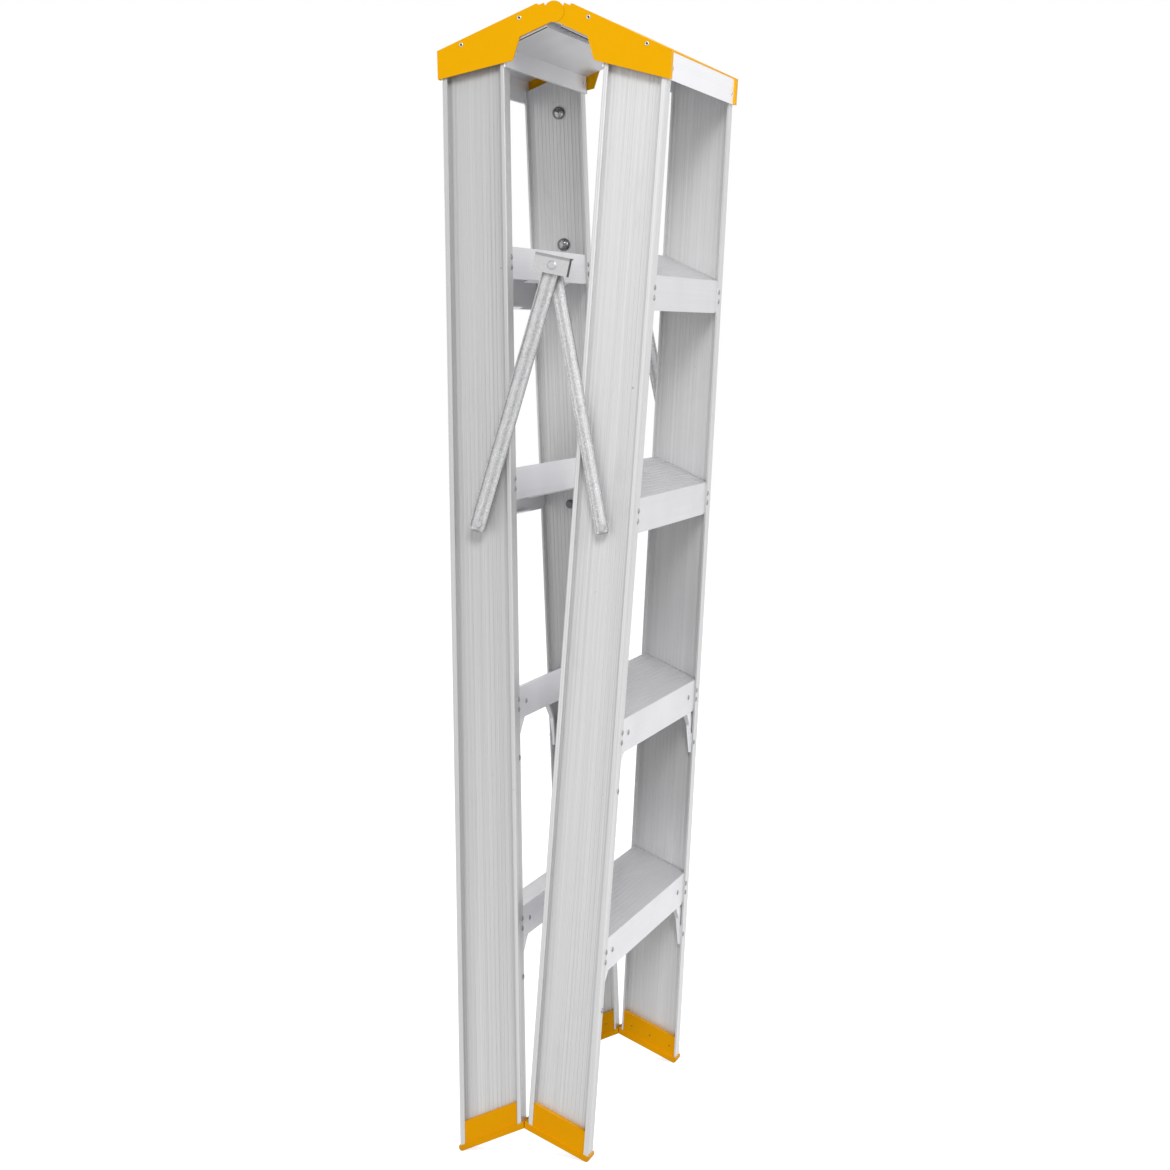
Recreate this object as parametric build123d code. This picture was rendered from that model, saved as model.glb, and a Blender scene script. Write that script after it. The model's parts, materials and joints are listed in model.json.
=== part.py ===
from build123d import *
import os
from math import acos, asin, atan, atan2, cos, degrees, hypot, radians, sin, tan

# Double-sided step ladder: two stepped frames hinged along a ridge tube, shown folded.
# Each frame is drawn as it stands in use, with its treads level: the hinge axis is the
# origin, X points out over that frame, Y runs along the treads and Z is up. The frame is
# then swung in about the hinge axis until its feet meet the feet of the other frame.
# Sizes are in millimetres and angles in degrees.

# Stance
open_lean = 21.7
side_flare = 2.6
hinge_width = 442.8
hinge_setback = 73.0
sole_below_hinge = 1390.0
foot_gap = 0.8

# Stile: an I-section extrusion with lips on its outer edges and a fluted web
stile_depth = 88.0
stile_width = 27.0
flange_wall = 2.4
web_wall = 2.0
lip_width = 6.5
lip_depth = 3.0
edge_round = 1.6
flute_count = 13
flute_width = 1.8
flute_height = 0.6
stile_top_gap = 15.0

# Steps
step_count = 4
step_rise = 282.0
first_tread_below_hinge = 262.0
tread_wall = 2.4
tread_rib_count = 15
tread_rib_width = 1.8
tread_rib_height = 0.5
step_wall = 2.0
step_front_drop = 45.0
step_rear_drop = 41.0
step_hem = 7.0
step_hem_cutback = 104.0
step_corner_run = 14.0
step_corner_rise = 7.0
step_end_gap = 0.5

# Knee braces under the two lowest steps
braced_steps = 2
brace_wall = 2.2
brace_head_below_tread = 14.0
brace_length = 100.0
brace_head_inset = 80.0
brace_head_width = 50.0
brace_elbow_inset = 14.0
brace_elbow_drop = 56.0
brace_toe_rise = 30.0
brace_toe_cover = 2.0
brace_web_gap = 0.3
brace_fold = 9.0
brace_fold_wall = 3.0

# Top extrusion: a box beam beside the hinge and a channel over the stile tops
deck_top = 17.5
deck_wall = 2.8
channel_wall = 2.4
beam_neck = 3.4
beam_bottom = -15.5
channel_front_bottom = -17.0
channel_rear_bottom = -39.0

# Ridge hinge
tube_radius = 8.0
tube_bore = 6.0
bead_radius = 11.0
socket_wall = 2.5
neck_wall = 4.0
hinge_clearance = 0.1
socket_slack = 6.0
ridge_end_gap = 0.4

# Moulded top covers
cover_skin = 2.5
cover_proud = 3.0
cover_cheek = 3.6
cover_rim = 14.0
cover_setback = 1.0
cover_shoulder_drop = 1.0
cover_bar_reveal = 4.5
cover_front_reveal = 1.0
cover_corner_reveal = 3.0
cover_corner_inset = 14.0
cover_notch_inset = 23.5
cover_clearance = 0.6
knuckle_cover = 0.8
knuckle_gap = 0.4
tube_socket_depth = 2.0

# Feet
sole_height = 8.0
foot_plate_height = 28.5
foot_heel_overhang = 4.0
foot_toe_overhang = 2.0
foot_clip_rise = 0.8
foot_side_margin = 1.5
foot_play = 0.15
foot_plate_inset = 1.0
toe_round = 4.2

# Spreaders: a folding pair of pressed trays on each side
pivot_below_hinge = 599.0
knee_offset = 9.5
left_arm_width = 22.5
right_arm_width = 17.5
left_arm_round = 9.0
right_arm_round = 5.0
arm_depth = 6.0
arm_wall = 1.5
arm_lift = 0.6
arm_layer_gap = 2.2
pivot_journal_radius = 3.0
pivot_head_radius = 4.8
pivot_head_height = 2.2
pivot_shoulder_radius = 6.5
pivot_tail_width = 5.6
pivot_tail_reach = 4.0
fixed_clearance = 0.05
running_clearance = 0.1
side_clearance = 0.3

# Saddles over the spreader knees
saddle_length = 52.0
saddle_height = 24.0
saddle_wall = 1.6
saddle_rest_tilt = 10.6
saddle_gap = 0.6
saddle_stop_gap = 0.6
knee_shank_radius = 3.0
knee_head_radius = 6.0
knee_head_height = 2.4
knee_tail_height = 0.5

# Angles and offsets that follow from the sizes above
lean = radians(open_lean)
flare = radians(side_flare)
web_half_width = hinge_width / 2 - stile_width / 2
flute_face = web_wall / 2 + flute_height
outer_face = hinge_setback + stile_depth
sole_level = -sole_below_hinge
sole_top = sole_level + sole_height
deck_under = deck_top - deck_wall
cover_top = deck_top + cover_skin


def lean_x(offset, level):
    """X, at a level, of a plane parallel to the stile and offset from the hinge axis."""
    return (offset - level * sin(lean)) / cos(lean)


def along_stile(offset, level):
    """Distance along the stile from the hinge to a level, on an offset plane."""
    return (level - offset * sin(lean)) / cos(lean)


def web_y(distance):
    """Half spacing of the two webs at a distance along the stile."""
    return web_half_width - distance * tan(flare)


# Places on the top extrusion and its cover that follow the stile and the hinge
socket_radius = bead_radius + hinge_clearance
socket_outside = socket_radius + socket_wall
beam_inner_wall = socket_outside + beam_neck
cover_inner_x = beam_inner_wall + cover_setback
cover_shoulder = deck_top - cover_shoulder_drop
cover_bar_bottom = beam_bottom + cover_bar_reveal
cover_outer_bottom = channel_front_bottom + cover_front_reveal
cover_corner_z = channel_rear_bottom + cover_corner_reveal
cover_corner_x = lean_x(hinge_setback, cover_corner_z) - cover_corner_inset
cover_notch_x = lean_x(hinge_setback - channel_wall, cover_bar_bottom) - cover_notch_inset
knuckle_radius = socket_outside + knuckle_cover
cover_reach = web_y(along_stile(outer_face, cover_outer_bottom)) + stile_width / 2 / cos(flare)
channel_half_length = cover_reach + cover_clearance


# The swing that brings the inner ends of the feet to the middle plane, and the hinge height
# that sets the rounded outer toes on the floor
foot_inner_x = lean_x(hinge_setback - foot_heel_overhang, sole_level)
foot_outer_x = lean_x(outer_face + foot_toe_overhang, sole_level)
foot_reach = hypot(foot_inner_x, sole_below_hinge)
fold_angle = degrees(atan2(foot_inner_x, sole_below_hinge) - asin(foot_gap / 2 / foot_reach))
fold = radians(fold_angle)
toe_run = toe_round * tan((radians(90) - lean) / 2)
toe_x = foot_outer_x - toe_run
toe_z = sole_level + toe_round
hinge_height = toe_x * sin(fold) - toe_z * cos(fold) + toe_round

folded = Location((0, 0, hinge_height), (0, fold_angle, 0))
upright = Location((0, 0, 0), (0, -open_lean, 0))
stile_seat = upright * Location((hinge_setback, -web_half_width, 0), (-side_flare, 0, 0))


def outline(points):
    """Face in the side view from corner points given as X and Z."""
    return Plane.XZ * make_face(Polyline(points, close=True))


def raised(points, height):
    """Plate from corner points given across and along a stile, raised off the stile's flange."""
    return extrude(Plane.YZ * make_face(Polyline(points, close=True)), amount=height)


def level_slab(low, high):
    """Level block between two heights, wider than the ladder."""
    reach = 4 * sole_below_hinge
    return Pos(0, 0, (low + high) / 2) * Box(reach, reach, high - low)


def cylinder_y(radius, start, end, x=0.0, z=0.0):
    """Cylinder along Y between two Y values."""
    return Pos(x, (start + end) / 2, z) * Rot(90, 0, 0) * Cylinder(radius, abs(end - start))


def group(shapes):
    """Separate solids kept together as one named piece."""
    solids = []
    for shape in shapes:
        solids.extend(shape.solids())
    return solids[0] if len(solids) == 1 else Compound(children=solids)


def far_side(shape):
    """Copy on the far side of the ladder."""
    return group([solid.mirror(Plane.XZ) for solid in shape.solids()])


def left_side(shape):
    """Copy on the left frame."""
    return group([solid.mirror(Plane.YZ) for solid in shape.solids()])


# Stiles

def stile_section():
    """I-section with outer lips and flutes on both faces of the web."""
    half = stile_width / 2
    middle = stile_depth / 2
    section = Pos(middle, 0) * Rectangle(stile_depth, web_wall)
    for side in (flange_wall / 2, stile_depth - flange_wall / 2):
        section += Pos(side, 0) * Rectangle(flange_wall, stile_width)
    for side in (lip_width / 2, stile_depth - lip_width / 2):
        section += Pos(side, lip_depth / 2 - half) * Rectangle(lip_width, lip_depth)
    pitch = (stile_depth - 2 * lip_width) / flute_count
    first = middle - pitch * (flute_count - 1) / 2
    for index in range(flute_count):
        section += Pos(first + index * pitch, 0) * Rectangle(flute_width, 2 * flute_face)
    corners = section.vertices().sort_by(Axis.Y)[:2]
    return fillet(corners, edge_round)


def pivot_place():
    """Place of the spreader pivot on the near stile: X across, Y through the web, Z along."""
    offset = hinge_setback + stile_depth / 2
    distance = along_stile(offset, -pivot_below_hinge)
    return stile_seat * Pos(stile_depth / 2, 0, distance / cos(flare))


pivot_seat = pivot_place()


def make_stile():
    """Near stile, cut level at the sole and below the deck, with a square hole for the pivot."""
    length = 2 * sole_below_hinge
    stile = stile_seat * Pos(0, 0, -length) * extrude(stile_section(), 2 * length)
    stile = stile & level_slab(sole_top, deck_under - stile_top_gap)
    hole = pivot_tail_width + 2 * fixed_clearance
    return stile - pivot_seat * Box(hole, stile_width / 2, hole)


# Steps

def make_step(number):
    """Inverted channel with level ribbed tread, flanges along the stile and turned-in hems."""
    tread = -first_tread_below_hinge - (number - 1) * step_rise
    front = outer_face - flange_wall
    rear = hinge_setback + flange_wall
    plate = tread - tread_rib_height
    under = plate - tread_wall
    low_front = tread - step_front_drop
    low_rear = tread - step_rear_drop
    hem_front = low_front + step_wall
    hem_rear = low_rear + step_wall
    front_inside = front - step_wall
    rear_inside = rear + step_wall
    points = [
        (lean_x(rear, low_rear), low_rear),
        (lean_x(rear, plate), plate),
        (lean_x(front, plate), plate),
        (lean_x(front, low_front), low_front),
        (lean_x(front_inside, low_front), low_front),
        (lean_x(front_inside, under), under),
        (lean_x(rear_inside, under), under),
        (lean_x(rear_inside, low_rear), low_rear),
    ]
    section = outline(points)
    hems = []
    for inside, turn, low, high in (
        (front_inside, -step_hem, low_front, hem_front),
        (rear_inside, step_hem, low_rear, hem_rear),
    ):
        corners = [
            (lean_x(inside, low), low),
            (lean_x(inside + turn, low), low),
            (lean_x(inside + turn, high), high),
            (lean_x(inside, high), high),
        ]
        hems.append(outline(corners))
    start = lean_x(rear, plate) + tread_rib_width
    end = lean_x(front, plate) - tread_rib_width
    for index in range(tread_rib_count):
        x = start + (end - start) * index / (tread_rib_count - 1)
        rib = Rectangle(tread_rib_width, 2 * tread_rib_height)
        section += Plane.XZ * Pos(x, plate) * rib
    top_distance = along_stile(rear, tread)
    half_length = web_y(top_distance) - flute_face / cos(flare) - step_end_gap
    step = extrude(section, amount=half_length, both=True)
    for hem in hems:
        step += extrude(hem, amount=half_length - step_hem_cutback, both=True)
    for side in (-1, 1):
        for low in (low_front, low_rear):
            x = lean_x(front if low == low_front else rear, low)
            corner = make_face(
                Polyline(
                    (side * half_length, low),
                    (side * (half_length - step_corner_run), low),
                    (side * half_length, low + step_corner_rise),
                    close=True,
                )
            )
            reach = stile_depth / 4
            step -= Pos(x, 0, 0) * extrude(Plane.YZ * corner, amount=reach, both=True)
    return step


def make_braces(number):
    """Straps from both flanges of a step down to the flanges of the near and far stiles."""
    tread = -first_tread_below_hinge - (number - 1) * step_rise
    front = outer_face - flange_wall
    rear = hinge_setback + flange_wall
    braces = []
    for wall, turn in ((front, -1), (rear, 1)):
        head = along_stile(wall, tread) - brace_head_below_tread
        toe = head - brace_length
        flange_edge = web_y(toe) - stile_width / 2
        web_face = web_y(toe + brace_toe_rise) - flute_face / cos(flare) - brace_web_gap
        toe_point = (-flange_edge - brace_toe_cover, toe)
        elbow = (brace_elbow_inset - flange_edge, head - brace_elbow_drop)
        head_point = (brace_head_inset - flange_edge, head)
        strap = [
            head_point,
            (brace_head_inset - brace_head_width - flange_edge, head),
            (-web_face, toe + brace_toe_rise),
            (-web_face, toe),
            toe_point,
            elbow,
        ]
        edge = [toe_point, elbow, head_point]
        lip = edge + [(across - brace_fold_wall, along) for across, along in reversed(edge)]
        pad = [
            (-flange_edge - brace_toe_cover, toe),
            (-web_face, toe),
            (-web_face, toe + brace_toe_rise),
            (-flange_edge - brace_toe_cover, toe + brace_toe_rise),
        ]
        inside = wall + turn * step_wall
        taper = [(0, toe), (turn * brace_wall, toe), (turn * brace_fold, head), (0, head)]
        taper = extrude(outline(taper), amount=hinge_width, both=True)
        brace = raised(strap, turn * brace_wall) + (raised(lip, turn * brace_fold) & taper)
        brace += raised(pad, -turn * step_wall)
        brace = upright * Pos(inside, 0, 0) * brace
        braces += [brace, far_side(brace)]
    return braces


# Top extrusions and hinge

def ring_sector(radius, start, end):
    """Pie slice used to open the hinge socket, from one angle to another."""
    reach = 2 * radius
    middle = (start + end) / 2
    points = [(0, 0)]
    for angle in (start, middle, end):
        points.append((reach * cos(radians(angle)), reach * sin(radians(angle))))
    return make_face(Polyline(points, close=True))


def top_section(socket):
    """Box beam, channel and one half of the ridge hinge, in the side view."""
    beam_top = deck_top
    rear_out = hinge_setback - channel_wall
    front_out = outer_face + channel_wall
    deck = make_face(
        Polyline(
            (beam_inner_wall, beam_top),
            (lean_x(front_out, beam_top), beam_top),
            (lean_x(front_out, channel_front_bottom), channel_front_bottom),
            (lean_x(outer_face, channel_front_bottom), channel_front_bottom),
            (lean_x(outer_face, deck_under), deck_under),
            (lean_x(hinge_setback, deck_under), deck_under),
            (lean_x(hinge_setback, channel_rear_bottom), channel_rear_bottom),
            (lean_x(rear_out, channel_rear_bottom), channel_rear_bottom),
            (lean_x(rear_out, beam_bottom), beam_bottom),
            (beam_inner_wall, beam_bottom),
            close=True,
        )
    )
    hollow_floor = beam_bottom + channel_wall
    hollow = make_face(
        Polyline(
            (beam_inner_wall + channel_wall, deck_under),
            (lean_x(rear_out, deck_under), deck_under),
            (lean_x(rear_out, hollow_floor), hollow_floor),
            (beam_inner_wall + channel_wall, hollow_floor),
            close=True,
        )
    )
    section = deck - hollow
    if socket:
        neck_run = beam_inner_wall - socket_radius
        section += Pos(socket_radius + neck_run / 2, 0) * Rectangle(neck_run, neck_wall)
        section += Circle(socket_outside)
        section -= Circle(socket_radius)
        half_neck = degrees(asin(neck_wall / 2 / bead_radius)) + socket_slack
        mouth = ring_sector(socket_outside, 180 - half_neck, 180 + 2 * fold_angle + half_neck)
        section -= mouth
    else:
        neck_run = beam_inner_wall - tube_radius
        section += Pos(tube_radius + neck_run / 2, 0) * Rectangle(neck_run, neck_wall)
        section += Circle(bead_radius)
        section -= Circle(tube_radius + hinge_clearance)
    return Plane.XZ * section


def make_channel(socket):
    """Top extrusion of one frame."""
    half_length = channel_half_length - (ridge_end_gap if socket else 0)
    return extrude(top_section(socket), amount=half_length, both=True)


def make_cover(knuckle):
    """Moulded cover: a skin over the deck with a cheek and a rim at both ends."""
    front = outer_face + channel_wall
    proud = front + cover_proud
    cheek = make_face(
        Polyline(
            (beam_inner_wall / 2, cover_shoulder),
            (beam_inner_wall, cover_shoulder),
            (cover_inner_x, cover_top),
            (lean_x(proud, cover_top), cover_top),
            (lean_x(proud, cover_outer_bottom), cover_outer_bottom),
            (cover_corner_x, cover_corner_z),
            (cover_notch_x, cover_bar_bottom),
            (beam_inner_wall / 2, cover_bar_bottom),
            close=True,
        )
    )
    if knuckle:
        cheek += Circle(knuckle_radius)
    else:
        cheek -= Circle(knuckle_radius + knuckle_gap)
    skin = make_face(
        Polyline(
            (cover_inner_x, deck_top),
            (cover_inner_x, cover_top),
            (lean_x(front, cover_top), cover_top),
            (lean_x(front, deck_top), deck_top),
            close=True,
        )
    )
    rim = make_face(
        Polyline(
            (lean_x(front, cover_top), cover_top),
            (lean_x(proud, cover_top), cover_top),
            (lean_x(proud, cover_outer_bottom), cover_outer_bottom),
            (lean_x(front, cover_outer_bottom), cover_outer_bottom),
            close=True,
        )
    )
    cover = extrude(Plane.XZ * skin, amount=channel_half_length, both=True)
    end = channel_half_length + cover_cheek
    for side in (-1, 1):
        plate = extrude(Plane.XZ * cheek, amount=-side * cover_cheek)
        cover += Pos(0, side * channel_half_length, 0) * plate
        wrap = extrude(Plane.XZ * rim, amount=-side * cover_rim)
        cover += Pos(0, side * (end - cover_rim), 0) * wrap
    if knuckle:
        reach = channel_half_length + tube_socket_depth
        cover -= cylinder_y(tube_radius + hinge_clearance, -reach, reach)
    return cover


def make_hinge_tube():
    """Ridge tube that both frames swing about."""
    reach = channel_half_length + tube_socket_depth - side_clearance
    tube = cylinder_y(tube_radius, -reach, reach)
    return Pos(0, 0, hinge_height) * (tube - cylinder_y(tube_bore, -reach, reach))


# Feet

def make_foot():
    """Near foot: a level sole with turned-up ends and plates on both faces of the web."""
    clip_top = sole_top + foot_clip_rise
    inner = hinge_setback - foot_heel_overhang
    outer = outer_face + foot_toe_overhang
    inner_wall = hinge_setback - foot_play
    outer_wall = outer_face + foot_play
    sole = make_face(
        Polyline(
            (lean_x(inner, sole_level), sole_level),
            (lean_x(outer, sole_level), sole_level),
            (lean_x(outer, clip_top), clip_top),
            (lean_x(outer_wall, clip_top), clip_top),
            (lean_x(outer_wall, sole_top), sole_top),
            (lean_x(inner_wall, sole_top), sole_top),
            (lean_x(inner_wall, clip_top), clip_top),
            (lean_x(inner, clip_top), clip_top),
            close=True,
        )
    )
    toe = sole.vertices().sort_by(Axis.Y)[:2].sort_by(Axis.X)[-1]
    sole = fillet([toe], toe_round)
    middle = web_y(along_stile(hinge_setback + stile_depth / 2, sole_top))
    half = stile_width / 2 + foot_side_margin
    foot = Pos(0, -middle, 0) * extrude(Plane.XZ * sole, amount=half, both=True)
    height = 2 * (stile_depth + foot_plate_height)
    depth = stile_width / 2 - foot_plate_inset - flute_face - foot_play
    bottom = along_stile(outer_face, sole_level)
    for side, edge in ((-1, lip_width), (1, flange_wall)):
        width = stile_depth - 2 * edge - 2 * foot_play
        middle = side * (flute_face + foot_play + depth / 2)
        plate = stile_seat * Pos(stile_depth / 2, middle, bottom) * Box(width, depth, height)
        foot += plate & level_slab(sole_level + toe_round, sole_top + foot_plate_height)
    return foot


# Spreaders

arm_dip = atan(tan(lean) / cos(flare))
arm_open_angle = 180 - degrees(arm_dip)


def arm_fold(offset):
    """Arm length and folded angle to the stile's cross direction, for a knee offset to its own frame.

    The two arms of a pair together span the open pivots, so a longer arm goes with a shorter one.
    """
    layer = stile_width / 2 + arm_lift + arm_depth
    open_pivot = (pivot_seat * Pos(0, -layer, 0)).position
    shut_pivot = (folded * pivot_seat * Pos(0, -layer, 0)).position
    half_span = open_pivot.X / (cos(arm_dip) * cos(lean) + sin(arm_dip) * cos(flare) * sin(lean))
    length = half_span - shut_pivot.X * offset / half_span
    outward = fold - lean
    across = cos(outward)
    along = cos(flare) * sin(outward)
    shut = atan2(along, across) + acos((offset - shut_pivot.X) / length / hypot(across, along))
    return length, degrees(shut)


right_arm_length, right_arm_shut = arm_fold(knee_offset)
left_arm_length, left_arm_shut = arm_fold(-knee_offset)
right_layer = stile_width / 2 + arm_lift
left_layer = right_layer + arm_depth + arm_layer_gap


def make_arm(layer, arm_length, arm_width, end_round):
    """Pressed tray along X from its squared pivot end to its round knee, with its rim outwards."""
    blank = Pos(arm_length / 2, 0) * SlotCenterToCenter(arm_length, arm_width)
    blank += RectangleRounded(arm_width, arm_width, end_round)
    inside = offset(blank, -arm_wall)
    arm = Pos(0, -layer, 0) * extrude(Plane.XZ * blank, amount=arm_depth)
    arm -= Pos(0, -layer - arm_wall, 0) * extrude(Plane.XZ * inside, amount=arm_depth)
    hole = pivot_journal_radius + running_clearance
    arm -= cylinder_y(hole, -layer - 2 * arm_depth, -layer)
    knee = knee_shank_radius + running_clearance
    return arm - cylinder_y(knee, -layer - 2 * arm_depth, -layer, x=arm_length)


def place_arm(shape, shut_angle):
    """Near place of an arm on the right frame, folded."""
    return folded * pivot_seat * Rot(0, -shut_angle, 0) * shape


def make_pivot(layer):
    """Shouldered stud of one near spreader pivot, with a square tail through the web."""
    head_seat = -(layer + arm_wall + side_clearance)
    shoulder_end = -(layer - side_clearance)
    stud = cylinder_y(pivot_head_radius, head_seat - pivot_head_height, head_seat)
    stud += cylinder_y(pivot_journal_radius, head_seat, shoulder_end)
    stud += cylinder_y(pivot_shoulder_radius, shoulder_end, -flute_face)
    tail = Box(pivot_tail_width, 2 * flute_face + pivot_tail_reach, pivot_tail_width)
    stud += Pos(0, pivot_tail_reach / 2, 0) * tail
    return folded * pivot_seat * stud


# Saddles and knee rivets, on the outer layer of arms

saddle_turn = left_arm_shut - saddle_rest_tilt - (fold_angle - open_lean)
saddle_swing = arm_open_angle + open_lean - saddle_turn


def place_saddle(shape):
    """Near place of a saddle piece before it is carried to the left frame, folded."""
    at_knee = Pos(left_arm_length, 0, 0) * Rot(0, saddle_turn, 0)
    return place_arm(at_knee * shape, left_arm_shut)


def make_saddle():
    """Stop plate with its upper edge folded in over the arm."""
    back = left_layer + arm_depth + saddle_gap
    low = -saddle_height / 2
    fold_seat = left_arm_width / 2 + saddle_stop_gap
    high = fold_seat + saddle_wall
    plate = Box(saddle_length, saddle_wall, high - low)
    plate = Pos(0, -back - saddle_wall / 2, (low + high) / 2) * plate
    fold_depth = saddle_gap + arm_depth
    lip = Box(saddle_length, fold_depth, saddle_wall)
    lip = Pos(0, -back + fold_depth / 2, fold_seat + saddle_wall / 2) * lip
    saddle = plate + lip
    saddle -= cylinder_y(knee_shank_radius + fixed_clearance, -back - 2 * saddle_wall, -back)
    return place_saddle(saddle)


def make_knee_rivet():
    """Rivet through a saddle and the outer arm."""
    back = left_layer + arm_depth + saddle_gap
    head_seat = -back - saddle_wall
    tail_seat = -(left_layer - side_clearance)
    rivet = cylinder_y(knee_shank_radius, head_seat, tail_seat + knee_tail_height)
    head = cylinder_y(knee_head_radius, head_seat - knee_head_height, head_seat)
    rim = head.edges().group_by(Axis.Y)[0]
    return place_saddle(rivet + chamfer(rim, knee_head_height / 2))


def make_knee_stub():
    """Stub of the knee rivet in the inner arm."""
    head = -(right_layer + arm_wall + knee_tail_height)
    stub = cylinder_y(knee_shank_radius, head, -right_layer, x=right_arm_length)
    return place_arm(stub, right_arm_shut)


# Every piece, folded and named

def build():
    """All pieces by name."""
    parts = {"hinge_tube": make_hinge_tube()}
    stile = folded * make_stile()
    parts["stile_right_near"] = stile
    parts["stile_right_far"] = far_side(stile)
    parts["stile_left_near"] = left_side(stile)
    parts["stile_left_far"] = left_side(far_side(stile))
    for number in range(1, step_count + 1):
        step = folded * make_step(number)
        parts[f"step_right_{number}"] = step
        parts[f"step_left_{number}"] = left_side(step)
    braces = []
    for number in range(step_count - braced_steps + 1, step_count + 1):
        braces += [folded * brace for brace in make_braces(number)]
    parts["knee_braces_right"] = group(braces)
    parts["knee_braces_left"] = group([left_side(brace) for brace in braces])
    parts["top_channel_right"] = folded * make_channel(socket=True)
    parts["top_channel_left"] = left_side(folded * make_channel(socket=False))
    parts["top_cover_right"] = folded * make_cover(knuckle=False)
    parts["top_cover_left"] = left_side(folded * make_cover(knuckle=True))
    foot = folded * make_foot()
    parts["foot_right_near"] = foot
    parts["foot_right_far"] = far_side(foot)
    parts["foot_left_near"] = left_side(foot)
    parts["foot_left_far"] = left_side(far_side(foot))
    inner_tray = make_arm(right_layer, right_arm_length, right_arm_width, right_arm_round)
    outer_tray = make_arm(left_layer, left_arm_length, left_arm_width, left_arm_round)
    inner_arm = place_arm(inner_tray, right_arm_shut)
    outer_arm = left_side(place_arm(outer_tray, left_arm_shut))
    parts["spreader_arm_right_near"] = inner_arm
    parts["spreader_arm_right_far"] = far_side(inner_arm)
    parts["spreader_arm_left_near"] = outer_arm
    parts["spreader_arm_left_far"] = far_side(outer_arm)
    inner_stud = make_pivot(right_layer)
    outer_stud = left_side(make_pivot(left_layer))
    parts["spreader_studs_right"] = group([inner_stud, far_side(inner_stud)])
    parts["spreader_studs_left"] = group([outer_stud, far_side(outer_stud)])
    saddle = left_side(make_saddle())
    parts["saddle_near"] = saddle
    parts["saddle_far"] = far_side(saddle)
    rivet = left_side(make_knee_rivet())
    parts["knee_rivet_near"] = rivet
    parts["knee_rivet_far"] = far_side(rivet)
    stub = make_knee_stub()
    parts["knee_stub_near"] = stub
    parts["knee_stub_far"] = far_side(stub)
    return parts


os.makedirs("parts", exist_ok=True)
for node, shape in build().items():
    export_step(shape, f"parts/{node}.step")
print(f"folded swing {fold_angle:.3f}, hinge height {hinge_height:.2f}")
print(f"arm lengths {left_arm_length:.2f} and {right_arm_length:.2f}, saddle swing {saddle_swing:.3f}")
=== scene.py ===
# %% [markdown]
# # A double-sided step ladder, dressed in Blender
# The solids of the ladder are already made, each in its own named node and on the body that it
# moves with. This lesson gives them their finishes, adds the small fasteners that hold a real
# ladder together, and sets up the light and the camera. The frame is loaded first, and its box
# is kept.

# %% Load the frame
import bmesh
import bpy
import json
from math import cos, radians, sin, tan
from mathutils import Matrix, Vector


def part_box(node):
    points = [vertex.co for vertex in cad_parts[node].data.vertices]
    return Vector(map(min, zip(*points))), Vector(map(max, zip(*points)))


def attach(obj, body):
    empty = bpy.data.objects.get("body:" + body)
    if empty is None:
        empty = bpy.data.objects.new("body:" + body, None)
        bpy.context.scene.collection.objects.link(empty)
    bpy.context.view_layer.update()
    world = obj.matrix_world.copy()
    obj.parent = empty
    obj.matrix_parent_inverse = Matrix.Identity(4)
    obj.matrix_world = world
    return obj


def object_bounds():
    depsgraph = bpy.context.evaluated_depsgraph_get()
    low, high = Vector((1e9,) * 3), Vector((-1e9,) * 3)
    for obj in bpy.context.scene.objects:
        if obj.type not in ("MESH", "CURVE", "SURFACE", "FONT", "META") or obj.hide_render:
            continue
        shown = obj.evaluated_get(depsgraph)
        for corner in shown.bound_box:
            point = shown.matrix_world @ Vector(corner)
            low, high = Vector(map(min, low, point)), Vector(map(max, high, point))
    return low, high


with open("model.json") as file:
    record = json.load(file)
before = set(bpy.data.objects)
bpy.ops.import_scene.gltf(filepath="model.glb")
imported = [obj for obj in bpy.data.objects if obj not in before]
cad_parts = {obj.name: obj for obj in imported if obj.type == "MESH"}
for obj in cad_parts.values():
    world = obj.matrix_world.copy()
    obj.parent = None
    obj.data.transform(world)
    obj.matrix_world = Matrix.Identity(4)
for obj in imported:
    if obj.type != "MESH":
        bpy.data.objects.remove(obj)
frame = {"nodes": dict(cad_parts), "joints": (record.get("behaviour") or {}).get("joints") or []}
solid_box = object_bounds()
nodes = frame["nodes"]

# %% [markdown]
# ## Where things are
# Both frames hang from the ridge hinge. A frame is easiest to describe in its own directions:
# how far a point is out from the hinge across the stile, how far along the stile, and how far
# to the near or far side. The hinge height and the swing come from the joint of the frame, so
# that the fasteners land on the solids. Sizes are in metres.

# %% Directions of a frame
millimetre = 0.001
open_lean = radians(21.7)
side_flare = radians(2.6)
joints = {joint["name"]: joint for joint in frame["joints"]}
hinge_height = joints["left_frame_fold"]["pos_m"][2]
fold_angle = radians(joints["left_frame_fold"]["range_deg"][1])
stile_tilt = fold_angle - open_lean
hinge_setback = 73 * millimetre
stile_depth = 88 * millimetre
stile_width = 27 * millimetre
flange_wall = 2.4 * millimetre
web_face = 1.6 * millimetre
web_half_width = 207.9 * millimetre
sides = {"left": -1, "right": 1}
ends = {"near": -1, "far": 1}


def on_stile(side, across, along, y):
    """Point of a folded frame from its distances across and along the stile."""
    x = across * cos(stile_tilt) + along * sin(stile_tilt)
    z = along * cos(stile_tilt) - across * sin(stile_tilt)
    return Vector((sides[side] * x, y, z + hinge_height))


def along_at(across, level):
    """Distance along the stile to a level of the open ladder."""
    return (level - across * sin(open_lean)) / cos(open_lean)


def web_y(along):
    """Half spacing of the webs at a distance along the stile."""
    return web_half_width - along * tan(side_flare)


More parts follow.
